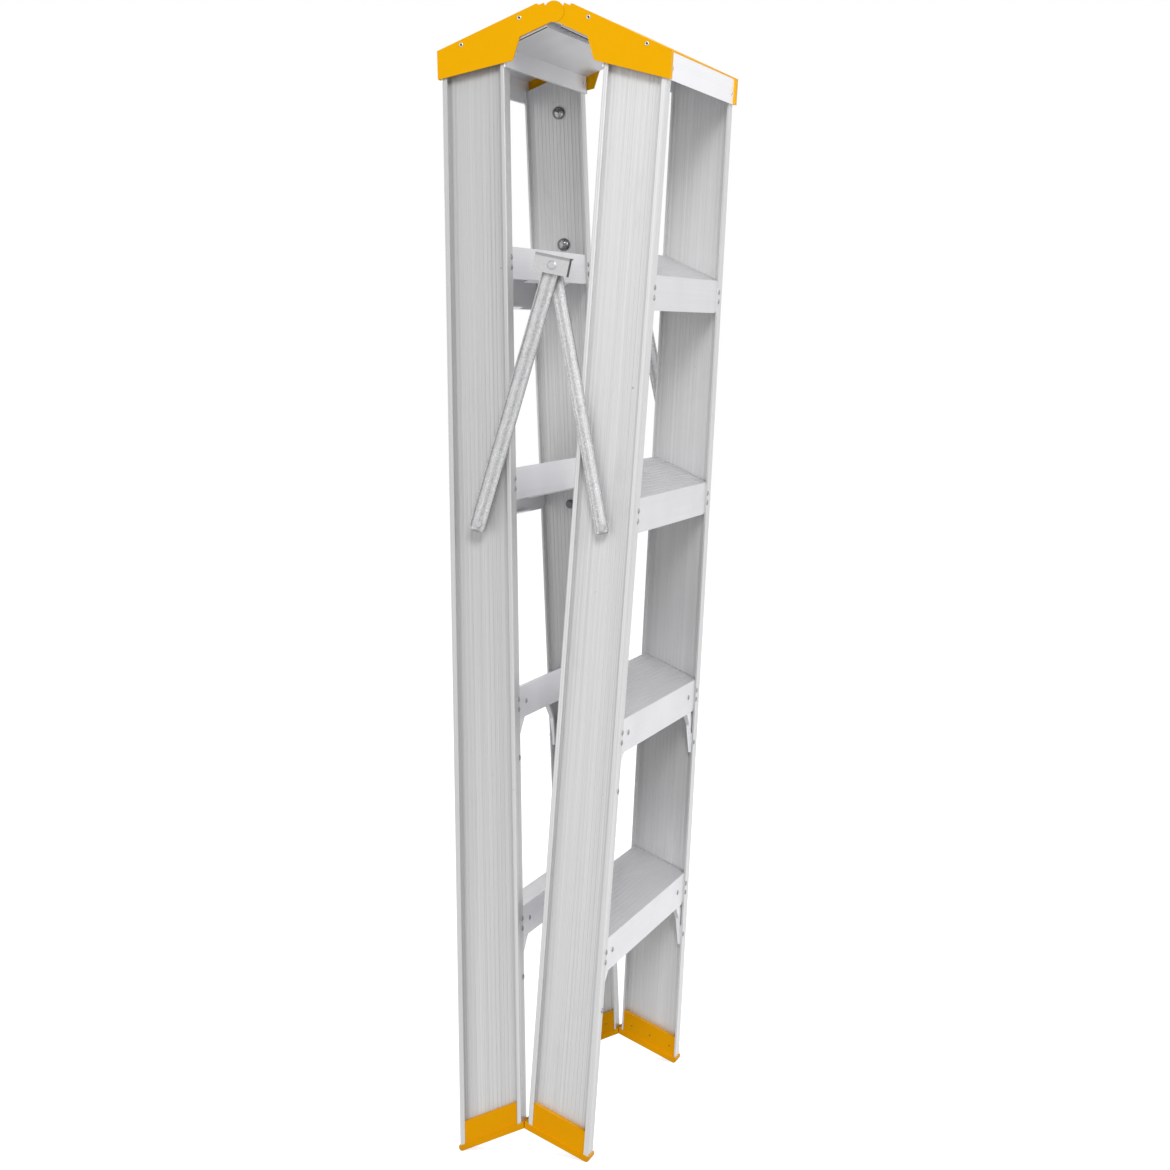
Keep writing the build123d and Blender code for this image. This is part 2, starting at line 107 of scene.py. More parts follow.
def across_direction(side, outwards=1):
    """Direction square to the flanges of a stile."""
    return Vector((sides[side] * outwards * cos(stile_tilt), 0, -outwards * sin(stile_tilt)))


def web_direction(side, end, outwards=1):
    """Direction square to the web of a stile."""
    lift = sin(side_flare)
    x = sides[side] * lift * sin(stile_tilt)
    y = ends[end] * cos(side_flare)
    return Vector((x, y, lift * cos(stile_tilt))) * outwards


print("stiles lean", round(stile_tilt / radians(1), 3), "degrees, hinge at", round(hinge_height, 4))

# %% [markdown]
# ## Helpers for finishes
# A finish is a small node tree around one Principled shader. Numbers that stay the same all
# over a surface go straight onto the shader, and only what changes from place to place is
# linked. The helpers below keep the trees short to write.

# %% Shader helpers
unturned = (0, 0, 0)
# A mix node has sockets for several kinds of value, and these are the ones for colours.
colour_inputs = (6, 7)
colour_output = 2


def dress(name, finish):
    """Give a node one finish all over."""
    nodes[name].data.materials.clear()
    nodes[name].data.materials.append(finish)


def cool_grey(tone, blue):
    """Grey of a tone, with its blue raised by a factor."""
    return tone, tone, blue * tone


def new_finish(name, colour, metallic, roughness):
    """Material with one Principled shader, and its tree and shader to work on."""
    material = bpy.data.materials.new(name)
    material.use_nodes = True
    tree = material.node_tree
    shader = tree.nodes["Principled BSDF"]
    shader.inputs["Base Color"].default_value = (*colour, 1)
    shader.inputs["Metallic"].default_value = metallic
    shader.inputs["Roughness"].default_value = roughness
    material.diffuse_color = (*colour, 1)
    return material, tree, shader


def turned_place(tree, turn, scale):
    """Object coordinates, turned to the run of the metal and then stretched."""
    place = tree.nodes.new("ShaderNodeTexCoord")
    turner = tree.nodes.new("ShaderNodeMapping")
    turner.inputs["Rotation"].default_value = turn
    tree.links.new(place.outputs["Object"], turner.inputs["Vector"])
    stretch = tree.nodes.new("ShaderNodeMapping")
    stretch.inputs["Scale"].default_value = scale
    tree.links.new(turner.outputs["Vector"], stretch.inputs["Vector"])
    return stretch.outputs["Vector"]


def turn_to(first, last):
    """Turn that makes one direction the X axis of a texture and another its Z axis."""
    return Matrix((first, last.cross(first), last)).to_euler()


def noise(tree, turn, scale, detail, roughness=0.55):
    """Noise texture, turned to the run of the metal and with its own scale on each axis."""
    texture = tree.nodes.new("ShaderNodeTexNoise")
    texture.inputs["Scale"].default_value = 1.0
    texture.inputs["Detail"].default_value = detail
    texture.inputs["Roughness"].default_value = roughness
    tree.links.new(turned_place(tree, turn, scale), texture.inputs["Vector"])
    return texture.outputs["Fac"]


def spread(tree, value, low, high, out_low, out_high):
    """Map a texture value from one range to another, held inside the new range."""
    mapper = tree.nodes.new("ShaderNodeMapRange")
    ranges = {"From Min": low, "From Max": high, "To Min": out_low, "To Max": out_high}
    for name, number in ranges.items():
        mapper.inputs[name].default_value = number
    tree.links.new(value, mapper.inputs["Value"])
    return mapper.outputs["Result"]


def tint(tree, factor, first, second):
    """Colour between two colours, either of them a colour or an earlier output."""
    mixer = tree.nodes.new("ShaderNodeMix")
    mixer.data_type = "RGBA"
    tree.links.new(factor, mixer.inputs["Factor"])
    for place, colour in zip(colour_inputs, (first, second)):
        socket = mixer.inputs[place]
        if isinstance(colour, tuple):
            socket.default_value = (*colour, 1)
        else:
            tree.links.new(colour, socket)
    return mixer.outputs[colour_output]


def combine(tree, operation, first, second):
    """Result of a sum on two values, either of them a number or an earlier output."""
    node = tree.nodes.new("ShaderNodeMath")
    node.operation = operation
    for socket, value in zip(node.inputs, (first, second)):
        if isinstance(value, bpy.types.NodeSocket):
            tree.links.new(value, socket)
        else:
            socket.default_value = value
    return node.outputs[0]


def relief(tree, shader, heights, distance):
    """Bump from one height after another."""
    normal = None
    for height, strength in heights:
        bump = tree.nodes.new("ShaderNodeBump")
        bump.inputs["Strength"].default_value = strength
        bump.inputs["Distance"].default_value = distance
        tree.links.new(height, bump.inputs["Height"])
        if normal is not None:
            tree.links.new(normal, bump.inputs["Normal"])
        normal = bump.outputs["Normal"]
    tree.links.new(normal, shader.inputs["Normal"])


print("shader helpers ready")

# %% [markdown]
# ## Mill-finish aluminium of the stiles
# The stiles are extruded and left as they come from the die, so they carry fine pale and dark
# streaks that run the whole length, with a few grey rub marks. The streaks are noise that is
# stretched along the stile. Every stile leans its own way, so the texture is turned to match
# before it is stretched: otherwise the streaks would cross the edges at a slant. Each stile has
# its own tone at the top and at the foot: partly the difference between lengths of extrusion,
# partly painted light for how brightly each stile is lit. The inside of a web is painted darker
# in the lower bays: painted shade from the treads above.

# %% Stile finish
rub_grey = (0.47, 0.47, 0.47)
# Painted shade for the inside of the webs in the lower bays.
bay_shade_grey = (0.30, 0.30, 0.305)
nick_grey = (0.25, 0.24, 0.23)


def stile_turn(side, end):
    """Turn that lays the world's axes along one stile."""
    x = sides[side] * sin(stile_tilt)
    y = -ends[end] * tan(side_flare)
    up = Vector((x, y, cos(stile_tilt))).normalized()
    return turn_to(across_direction(side).normalized(), up)


def surface_axis(tree, kind, output, axis):
    """One axis of the place or the facing of a surface point."""
    source = tree.nodes.new(kind)
    split = tree.nodes.new("ShaderNodeSeparateXYZ")
    tree.links.new(source.outputs[output], split.inputs["Vector"])
    return split.outputs[axis]


def bay_shade_share(tree, end, height):
    """Share of painted shade on the inside of a web: none at the top, most in the lower bays."""
    facing = surface_axis(tree, "ShaderNodeNewGeometry", "Normal", "Y")
    inside = spread(tree, combine(tree, "MULTIPLY", facing, -ends[end]), 0.6, 0.9, 0, 1)
    upper = spread(tree, height, 0.72, 1.05, 1, 0.05)
    lower = spread(tree, height, 0.2, 0.42, 0.35, 1)
    return combine(tree, "MULTIPLY", inside, combine(tree, "MULTIPLY", upper, lower))


def stile_finish(side, end, foot_light_tone, top_light_tone):
    """Streaked mill-finish aluminium for one stile, with its own tone at the foot and the top, partly
    painted light, and painted shade inside the lower bays.
    """
    name = f"stile_aluminium_{side}_{end}"
    material, tree, shader = new_finish(name, (0.62 * top_light_tone,) * 3, metallic=0.4, roughness=0.42)
    turn = stile_turn(side, end)
    fine = noise(tree, turn, (520, 520, 1.6), 2.0)
    broad = noise(tree, turn, (95, 95, 0.9), 2.0)
    rubbed = noise(tree, turn, (14, 14, 5), 5.0, 0.65)
    nicks = noise(tree, turn, (90, 90, 60), 1.0)
    height = surface_axis(tree, "ShaderNodeTexCoord", "Object", "Z")
    # Painted light: the tone runs from the foot's to the top's, partly standing for how the light falls
    # on this stile.
    up = spread(tree, height, 0.0, hinge_height, 0, 1)
    dark, light, plain = (
        tint(tree, up, (share * foot_light_tone,) * 3, (share * top_light_tone,) * 3)
        for share in (0.54, 0.68, 0.61)
    )
    pale = tint(tree, spread(tree, fine, 0.3, 0.7, 0, 1), dark, light)
    toned = tint(tree, spread(tree, broad, 0.35, 0.65, 0, 0.55), pale, plain)
    worn = tint(tree, spread(tree, rubbed, 0.58, 0.75, 0, 0.35), toned, rub_grey)
    # Painted shade: the inside of the web is made darker in the lower bays, under the treads.
    bay_shade = combine(tree, "MULTIPLY", bay_shade_share(tree, end, height), 0.6)
    dull = tint(tree, bay_shade, worn, bay_shade_grey)
    marked = tint(tree, spread(tree, nicks, 0.79, 0.82, 0, 0.6), dull, nick_grey)
    tree.links.new(marked, shader.inputs["Base Color"])
    tree.links.new(spread(tree, broad, 0.3, 0.7, 0.34, 0.5), shader.inputs["Roughness"])
    relief(tree, shader, ((fine, 0.18), (nicks, 0.05)), 0.0004)
    return material


# Tones at the foot and the top of each stile: partly the difference between lengths of extrusion, partly
# painted light.
stile_light_tones = {
    ("left", "near"): (0.93, 0.78),
    ("left", "far"): (1.03, 1.1),
    ("right", "near"): (0.95, 1.06),
    ("right", "far"): (1.07, 1.0),
}
for (side, end), tones in stile_light_tones.items():
    dress(f"stile_{side}_{end}", stile_finish(side, end, *tones))
print("stiles dressed", [name for name in nodes if name.startswith("stile")])

# %% [markdown]
# ## Bright aluminium of the steps, top extrusions and braces
# The treads and the top extrusions are smoother and cleaner than the stiles. They run across
# the ladder, along Y, so their faint drawing lines do too. Faces of the treads that look up are
# painted greyer, as painted shade from the parts above them, and the left top extrusion is painted
# darker underneath, as painted shade. The steps of the two frames get different tones, as
# painted light.

# %% Step and channel finish
facing_shade_grey = (0.47, 0.47, 0.48)
upwards = 1
downwards = -1
neither = 0


def bright_finish(name, tone, metallic, shaded_face):
    """Clean drawn aluminium with lines along the treads, with painted shade on faces that look up or
    down.
    """
    dark, light, cloudy = (cool_grey(share * tone, 1.03) for share in (0.735, 0.765, 0.68))
    material, tree, shader = new_finish(name, light, metallic, roughness=0.4)
    lines = noise(tree, unturned, (420, 1.6, 420), 2.0)
    cloud = noise(tree, unturned, (16, 9, 16), 4.0)
    clean = tint(tree, spread(tree, lines, 0.3, 0.7, 0, 1), dark, light)
    clouded = tint(tree, spread(tree, cloud, 0.45, 0.75, 0, 0.35), clean, cloudy)
    # Painted shade: faces that look the given way up or down are made greyer.
    facing = surface_axis(tree, "ShaderNodeNewGeometry", "Normal", "Z")
    dull = spread(tree, combine(tree, "MULTIPLY", facing, shaded_face), 0.6, 0.85, 0, 0.7)
    tree.links.new(tint(tree, dull, clouded, facing_shade_grey), shader.inputs["Base Color"])
    tree.links.new(spread(tree, cloud, 0.3, 0.7, 0.33, 0.48), shader.inputs["Roughness"])
    relief(tree, shader, ((lines, 0.1),), 0.0003)
    return material


# Painted light: the steps of the left frame, seen from their shaded side, are made lighter and those of
# the right frame darker.
step_light_tones = {"left": 1.03, "right": 0.89}
step_finishes = {
    side: bright_finish(f"step_aluminium_{side}", tone, metallic=0.6, shaded_face=upwards)
    for side, tone in step_light_tones.items()
}
channel_tone = 1.16
# Painted shade: the left top extrusion is darker underneath.
channel_shaded_faces = {"left": downwards, "right": neither}
channel_finishes = {
    side: bright_finish(f"channel_aluminium_{side}", channel_tone, metallic=0.25, shaded_face=face)
    for side, face in channel_shaded_faces.items()
}
step_names = [name for name in nodes if name.startswith("step_")]
channel_names = [name for name in nodes if name.startswith(("top_channel", "knee_braces", "hinge_tube"))]
for names, finishes in ((step_names, step_finishes), (channel_names, channel_finishes)):
    for name in names:
        dress(name, finishes["left" if "left" in name else "right"])
print("bright aluminium on", step_names + channel_names)

# %% [markdown]
# ## Moulded plastic of the covers and feet
# The covers are a warm yellow and the feet a deeper amber. Moulded plastic is never quite one
# colour: it has a faint flow pattern, a fine grain from the tool, and pale scuffs where it is
# handled. The feet also pick up dirt near the floor.

# %% Plastic finishes
dirt_brown = (0.36, 0.17, 0.02)


def plastic_finish(name, colour, deep, scuff, dirt_height):
    """Moulded plastic with a fine grain, flow, scuffs and some dirt low down."""
    material, tree, shader = new_finish(name, colour, metallic=0.0, roughness=0.42)
    shader.inputs["Specular IOR Level"].default_value = 0.05
    flow = noise(tree, unturned, (11, 11, 11), 3.0)
    grain = noise(tree, unturned, (900, 900, 900), 2.0)
    rub = noise(tree, unturned, (70, 30, 70), 5.0, 0.7)
    flowed = tint(tree, spread(tree, flow, 0.35, 0.7, 0, 0.5), colour, deep)
    result = tint(tree, spread(tree, rub, 0.68, 0.8, 0, 0.3), flowed, scuff)
    if dirt_height:
        height = surface_axis(tree, "ShaderNodeTexCoord", "Object", "Z")
        result = tint(tree, spread(tree, height, 0.0, dirt_height, 0.35, 0), result, dirt_brown)
    tree.links.new(result, shader.inputs["Base Color"])
    tree.links.new(spread(tree, rub, 0.3, 0.8, 0.38, 0.55), shader.inputs["Roughness"])
    relief(tree, shader, ((grain, 0.12),), 0.0002)
    return material


cover_plastic = plastic_finish(
    "cover_plastic",
    colour=(0.81, 0.392, 0.0), deep=(0.79, 0.38, 0.0), scuff=(0.84, 0.44, 0.02), dirt_height=0,
)
foot_plastic = plastic_finish(
    "foot_plastic",
    colour=(0.755, 0.33, 0.0), deep=(0.71, 0.295, 0.0), scuff=(0.8, 0.39, 0.02),
    dirt_height=12 * millimetre,
)
plastics = {name: cover_plastic for name in nodes if name.startswith("top_cover")}
plastics.update({name: foot_plastic for name in nodes if name.startswith("foot_")})
for name, plastic in plastics.items():
    dress(name, plastic)
print("plastic on", list(plastics))

# %% [markdown]
# ## Zinc-coated steel of the spreaders
# The spreaders are pressed from zinc-coated strip. The crease along each arm, its rims and its
# round end are darker: partly gritty dirt and partly painted shade, and the share is broken up
# by fine noise. The texture of an arm is turned to run from its pivot to its knee, and both places
# are read from the joints. The saddles are smoother, with painted shade along the folded edge
# and the cut end.

# %% Zinc finishes
saddle_tilt = radians(10.6)
saddle_end = 26 * millimetre
saddle_top = 13.45 * millimetre
arm_half_widths = {"left": 11.25 * millimetre, "right": 8.75 * millimetre}
arm_creases = {"left": 1.2 * millimetre, "right": -2.6 * millimetre}
arm_tones = {"left": 1.06, "right": 1.3}
crease_shade_range = (0.8 * millimetre, 4.4 * millimetre)
rim_shade_insets = (2.8 * millimetre, 1.2 * millimetre)
end_shade_insets = (1.6 * millimetre, 3.2 * millimetre)
fold_shade_insets = (4.2 * millimetre, 3.6 * millimetre)
cut_shade_insets = (3.0 * millimetre, 2.2 * millimetre)
grime_and_shade_grey = (0.23, 0.23, 0.23)
fold_shade_grey = (0.24, 0.24, 0.245)
cut_shade_black = (0.08, 0.08, 0.08)


def distances(tree, place, first, last):
    """Distances of a surface point from a place along two directions."""
    split = tree.nodes.new("ShaderNodeSeparateXYZ")
    tree.links.new(turned_place(tree, turn_to(first, last), (1, 1, 1)), split.inputs["Vector"])
    along_first = combine(tree, "SUBTRACT", split.outputs["X"], first.dot(place))
    along_last = combine(tree, "SUBTRACT", split.outputs["Z"], last.dot(place))
    return along_first, along_last


def arm_grime_and_shade(tree, side, offset, along):
    """Share of dirt and painted shade on an arm from the distances across it and along it."""
    half_width = arm_half_widths[side]
    # Painted shade, with some real dirt: the crease, the rims and the end of the arm go darker.
    beside_crease = combine(tree, "SUBTRACT", offset, arm_creases[side])
    crease = spread(tree, combine(tree, "ABSOLUTE", beside_crease, 0.0), *crease_shade_range, 1, 0)
    rim_range = (half_width - inset for inset in rim_shade_insets)
    rim = spread(tree, combine(tree, "ABSOLUTE", offset, 0.0), *rim_range, 0, 1)
    end = spread(tree, along, *(inset - half_width for inset in end_shade_insets), 0.9, 0)
    grit = noise(tree, unturned, (470, 470, 470), 3.0, 0.7)
    share = spread(tree, grit, 0.36, 0.62, 0.15, 0.75)
    gritty = combine(tree, "MULTIPLY", combine(tree, "MAXIMUM", crease, rim), share)
    return combine(tree, "MAXIMUM", gritty, end)


def arm_finish(side, end):
    """Streaked zinc for one arm, with gritty dirt and painted shade in its crease, on its rims and round
    its end.
    """
    tone = arm_tones[side]
    dull, bright, spotted = (cool_grey(share * tone, 1.01) for share in (0.45, 0.65, 0.33))
    name = f"arm_zinc_{side}_{end}"
    material, tree, shader = new_finish(name, bright, metallic=0.75, roughness=0.45)
    pivot = Vector(joints[f"{side}_{end}_arm_pivot"]["pos_m"])
    knee = Vector(joints[f"{end}_saddle_pivot"]["pos_m"])
    run = Vector((knee.x - pivot.x, 0, knee.z - pivot.z)).normalized()
    across = Vector((run.z, 0, -run.x))
    streaks = noise(tree, turn_to(across, run), (700, 700, 40), 4.0, 0.65)
    spots = noise(tree, unturned, (620, 620, 620), 3.0, 0.7)
    plain = tint(tree, spread(tree, streaks, 0.3, 0.7, 0, 1), dull, bright)
    pitted = tint(tree, spread(tree, spots, 0.46, 0.66, 0, 0.8), plain, spotted)
    # Partly dirt, partly painted shade of the crease, the rims and the end.
    grime_and_shade = arm_grime_and_shade(tree, side, *distances(tree, pivot, across, run))
    tree.links.new(tint(tree, grime_and_shade, pitted, grime_and_shade_grey), shader.inputs["Base Color"])
    relief(tree, shader, ((streaks, 0.08), (spots, 0.06)), 0.0004)
    return material


def saddle_finish(end):
    """Smooth zinc for a saddle, with painted shade along its folded edge and its cut end."""
    dull, middling, bright = ((tone, tone, tone + 0.005) for tone in (0.46, 0.50, 0.52))
    name = f"saddle_zinc_{end}"
    material, tree, shader = new_finish(name, middling, metallic=0.75, roughness=0.42)
    knee = Vector(joints[f"{end}_saddle_pivot"]["pos_m"])
    along = Vector((cos(saddle_tilt), 0, -sin(saddle_tilt)))
    up = Vector((sin(saddle_tilt), 0, cos(saddle_tilt)))
    length, height = distances(tree, knee, along, up)
    # Painted shade: the folded top edge and the cut end are made darker.
    fold = spread(tree, height, *(saddle_top - inset for inset in fold_shade_insets), 0, 0.75)
    cut = spread(tree, length, *(saddle_end - inset for inset in cut_shade_insets), 0, 1)
    cloud = noise(tree, unturned, (260, 260, 260), 4.0, 0.6)
    plain = tint(tree, spread(tree, cloud, 0.3, 0.7, 0, 1), dull, bright)
    folded = tint(tree, fold, plain, fold_shade_grey)
    tree.links.new(tint(tree, cut, folded, cut_shade_black), shader.inputs["Base Color"])
    relief(tree, shader, ((cloud, 0.05),), 0.0004)
    return material


for end in ends:
    finishes = {f"spreader_arm_{side}_{end}": arm_finish(side, end) for side in sides}
    finishes[f"saddle_{end}"] = saddle_finish(end)
    for name, finish in finishes.items():
        dress(name, finish)
    print("zinc on", list(finishes))

# %% [markdown]
# ## Plated steel of the fasteners
# Rivets, studs and nuts are small, so a plain plated metal with a faint grey mottle is
# enough. The rivets are duller than the aluminium around them, and the dome bolts are
# polished and dark. The recess of a screw is painted nearly black, as painted shade.

# %% Fastener finishes
def plated_finish(name, colour, roughness, mottle):
    """Plated metal with a faint mottle."""
    material, tree, shader = new_finish(name, colour, metallic=0.9, roughness=roughness)
    cloud = noise(tree, unturned, (380, 380, 380), 3.0)
    darker = tuple(channel * (1 - mottle) for channel in colour)
    mottled = tint(tree, spread(tree, cloud, 0.35, 0.7, 0, 1), colour, darker)
    tree.links.new(mottled, shader.inputs["Base Color"])
    relief(tree, shader, ((cloud, 0.06),), 0.0003)
    return material


rivet_steel = plated_finish("rivet_steel", (0.34, 0.34, 0.35), 0.42, 0.35)
stud_steel = plated_finish("stud_steel", (0.55, 0.55, 0.56), 0.38, 0.3)
bolt_chrome = plated_finish("bolt_chrome", (0.36, 0.36, 0.37), 0.14, 0.4)
nut_steel = plated_finish("nut_steel", (0.15, 0.15, 0.155), 0.35, 0.4)
screw_zinc = plated_finish("screw_zinc", (0.62, 0.62, 0.62), 0.3, 0.25)
# Painted shade: nearly black for the recess of a screw and the gaps at the beam ends.
painted_shade_black = plated_finish("painted_shade_black", (0.05, 0.045, 0.04), 0.6, 0.3)
pin_brown = plated_finish("pin_brown", (0.44, 0.19, 0.01), 0.6, 0.3)
stud_names = [name for name in nodes if name.startswith(("spreader_studs", "knee_rivet", "knee_stub"))]
for name in stud_names:
    dress(name, stud_steel)
print("plated steel on", stud_names)

# %% [markdown]
# ## A tree for domed heads
# Rivets, bolts and studs all show a round head with a low dome. They could be modelled once and
# copied by hand, but a Geometry Nodes tree does it from a list of points: each point carries the
# direction that its head faces, and the tree turns one head to that direction. The head is a
# short cylinder whose top is raised to a dome. Realize Instances makes plain mesh of the copies.

# %% Tree of domed heads
class Graph:
    """Geometry tree under construction."""

    def __init__(self, name, sockets):
        self.tree = bpy.data.node_groups.new(name, "GeometryNodeTree")
        kinds = {
            "length": "NodeSocketFloat", "count": "NodeSocketInt", "finish": "NodeSocketMaterial",
        }
        face = self.tree.interface
        face.new_socket("Points", in_out="INPUT", socket_type="NodeSocketGeometry")
        self.identifiers = {}
        for label, kind in sockets:
            item = face.new_socket(label, in_out="INPUT", socket_type=kinds[kind])
            self.identifiers[label] = item.identifier
        face.new_socket("Heads", in_out="OUTPUT", socket_type="NodeSocketGeometry")
        self.inputs = self.tree.nodes.new("NodeGroupInput").outputs
        self.result = self.tree.nodes.new("NodeGroupOutput").inputs["Heads"]

    def add(self, kind, links=(), **settings):
        """New node with settings, and with outputs or numbers put on its named inputs."""
        node = self.tree.nodes.new(kind)
        for key, value in settings.items():
            setattr(node, key, value)
        for socket, value in dict(links).items():
            if isinstance(value, bpy.types.NodeSocket):
                self.tree.links.new(value, node.inputs[socket])
            else:
                node.inputs[socket].default_value = value
        return node

    def maths(self, operation, first, second):
        """Result of a sum on two values."""
        return self.add("ShaderNodeMath", {0: first, 1: second}, operation=operation).outputs[0]

    def drum(self, segments, radius, depth, rings=1):
        """Mesh of a cylinder."""
        links = {"Vertices": segments, "Fill Segments": rings, "Radius": radius, "Depth": depth}
        return self.add("GeometryNodeMeshCylinder", links).outputs["Mesh"]

    def circle(self, segments, radius):
        """Curve of a circle."""
        links = {"Resolution": segments, "Radius": radius}
        return self.add("GeometryNodeCurvePrimitiveCircle", links, mode="RADIUS").outputs["Curve"]

    def raised(self, shape, height):
        """Shape moved up by a height."""
        lift = self.add("ShaderNodeCombineXYZ", {"Z": height}).outputs[0]
        moved = self.add("GeometryNodeTransform", {"Geometry": shape, "Translation": lift})
        return moved.outputs["Geometry"]

    def joined(self, *shapes):
        """Shapes put together."""
        joiner = self.add("GeometryNodeJoinGeometry")
        for shape in shapes:
            self.tree.links.new(shape, joiner.inputs["Geometry"])
        return joiner.outputs["Geometry"]

    def scatter(self, shape):
        """Copies of a shape on the points, turned to the facing that each point carries."""
        facing = self.add("GeometryNodeInputNamedAttribute", {"Name": "facing"}, data_type="FLOAT_VECTOR")
        direction = {"Vector": facing.outputs["Attribute"]}
        turn = self.add("FunctionNodeAlignRotationToVector", direction, axis="Z").outputs["Rotation"]
        links = {"Points": self.inputs["Points"], "Instance": shape, "Rotation": turn}
        copies = self.add("GeometryNodeInstanceOnPoints", links).outputs["Instances"]
        return self.add("GeometryNodeRealizeInstances", {"Geometry": copies}).outputs["Geometry"]

    def painted(self, shape, label="Finish"):
        """Shape with its material set."""
        links = {"Geometry": shape, "Material": self.inputs[label]}
        return self.add("GeometryNodeSetMaterial", links).outputs["Geometry"]

    def finish(self, shape):
        """Make a shape the result of the tree."""
        self.tree.links.new(shape, self.result)


def domed_head_graph():
    """Tree of round heads: a rim with a dome on it."""
    lengths = [(label, "length") for label in ("Radius", "Rim", "Dome")]
    graph = Graph("domed_heads", lengths + [("Segments", "count"), ("Finish", "finish")])
    radius, rim, dome = (graph.inputs[label] for label, kind in lengths)
    drum = graph.drum(graph.inputs["Segments"], radius, rim, rings=3)
    position = graph.add("GeometryNodeInputPosition").outputs[0]
    place = graph.add("ShaderNodeSeparateXYZ", {"Vector": position}).outputs
    squares = [graph.maths("POWER", place[axis], 2.0) for axis in ("X", "Y")]
    share = graph.maths("DIVIDE", graph.maths("ADD", *squares), graph.maths("POWER", radius, 2.0))
    rise = graph.maths("MULTIPLY", graph.maths("SUBTRACT", 1.0, share), dome)
    upper = graph.maths("GREATER_THAN", place["Z"], 0.0)
    lift = graph.add("ShaderNodeCombineXYZ", {"Z": graph.maths("MULTIPLY", rise, upper)})
    domed = graph.add("GeometryNodeSetPosition", {"Geometry": drum, "Offset": lift.outputs[0]})
    seated = graph.raised(domed.outputs["Geometry"], graph.maths("MULTIPLY", rim, 0.5))
    smooth = graph.add("GeometryNodeSetShadeSmooth", {"Geometry": graph.scatter(seated)})
    graph.finish(graph.painted(smooth.outputs["Geometry"]))
    return graph


domed_heads = domed_head_graph()
print("tree", domed_heads.tree.name, "inputs", list(domed_heads.identifiers))

# %% [markdown]
# ## From points to a piece
# The tree needs a mesh of loose points with a facing on each. The helper below makes one, runs
# the tree with the sizes that are given, takes the finished mesh, and lets it ride on the body
# that it belongs to. The tree is then no longer needed on the object.

# %% Helper that plants fasteners
def plant(name, graph, spots, body, slot, **sizes):
    """Run a tree on spots, given as point and facing pairs, and let the result ride on a body."""
    points = bpy.data.meshes.new(name + "_points")
    points.from_pydata([spot for spot, facing in spots], [], [])
    facings = points.attributes.new("facing", "FLOAT_VECTOR", "POINT")
    facings.data.foreach_set("vector", [number for spot, facing in spots for number in facing])
    piece = bpy.data.objects.new(name, points)
    bpy.context.scene.collection.objects.link(piece)
    modifier = piece.modifiers.new("heads", "NODES")
    modifier.node_group = graph.tree
    for label, value in sizes.items():
        modifier[graph.identifiers[label]] = value
    piece.update_tag()
    depsgraph = bpy.context.evaluated_depsgraph_get()
    made = bpy.data.meshes.new_from_object(piece.evaluated_get(depsgraph), depsgraph=depsgraph)
    piece.modifiers.remove(modifier)
    piece.data = made
    made.name = name
    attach(piece, body)
    print(name, "heads", len(spots), "faces", len(made.polygons))
    return piece


# %% [markdown]
# ## Rivets of the steps and braces
# At each end a step is riveted through the inner half of the stile flange, with two rivets one
# above the other, front and rear. The two lowest steps also have braces: one rivet goes
# through the step beside the stile and one through the stile below it. The rivets are dull
# steel, and small, but they are what shows how the ladder is held together.

# %% Step and brace rivets
step_count = 4
braced_steps = 2
step_rise = 282 * millimetre
first_tread = -262 * millimetre
tread_to_rivets = (15 * millimetre, 28 * millimetre)
rivet_edge = 5.2 * millimetre
brace_top_rivet = 23 * millimetre
brace_top_inboard = 42 * millimetre
brace_toe_rivet = 97 * millimetre


def step_rivet_spots(side):
    """Rivet points of all steps of one frame."""
    spots = []
    front = hinge_setback + stile_depth
    for number in range(step_count):
        tread = first_tread - number * step_rise
        for across, outwards in ((front, 1), (hinge_setback, -1)):
            facing = across_direction(side, outwards)
            inner = across - outwards * flange_wall
            for end in ends:
                for drop in tread_to_rivets:
                    along = along_at(across, tread - drop)
                    y = web_y(along) - stile_width / 2 + rivet_edge
                    spots.append((on_stile(side, across, along, ends[end] * y), facing))
                if number >= step_count - braced_steps:
                    along = along_at(inner, tread) - brace_top_rivet
                    y = web_y(along) - stile_width / 2 - brace_top_inboard
                    spots.append((on_stile(side, inner, along, ends[end] * y), facing))
                    along = along_at(across, tread) - brace_toe_rivet
                    y = web_y(along) - stile_width / 2 + rivet_edge
                    spots.append((on_stile(side, across, along, ends[end] * y), facing))
    return spots


for side in sides:
    plant(
        f"step_rivets_{side}", domed_heads, step_rivet_spots(side), f"{side}_frame", "plated_steel",
        Radius=3.9 * millimetre, Rim=0.5 * millimetre, Dome=1.3 * millimetre,
        Segments=14, Finish=rivet_steel,
    )

# %% [markdown]
# ## Marks on the feet, and rivets of the top extrusions
# The feet are pinned through the web, and three small pin heads show on the inside of each. The
# top extrusion is riveted to the flanges of the stiles under its front and rear walls.

# %% Foot pins and top rivets
foot_pin_level = -1369 * millimetre
foot_pin_places = (88.5 * millimetre, 118 * millimetre, 150 * millimetre)
foot_plate_face = 12.5 * millimetre
channel_wall = 2.4 * millimetre
front_rivet_level = -2.5 * millimetre
rear_rivet_level = -27 * millimetre


def foot_pin_spots(side):
    """Pin heads on the inner plates of both feet of a frame."""
    spots = []
    for end in ends:
        facing = web_direction(side, end, -1)
        for across in foot_pin_places:
            along = along_at(across, foot_pin_level)
            y = web_y(along) - foot_plate_face / cos(side_flare)
            spots.append((on_stile(side, across, along, ends[end] * y), facing))
    return spots


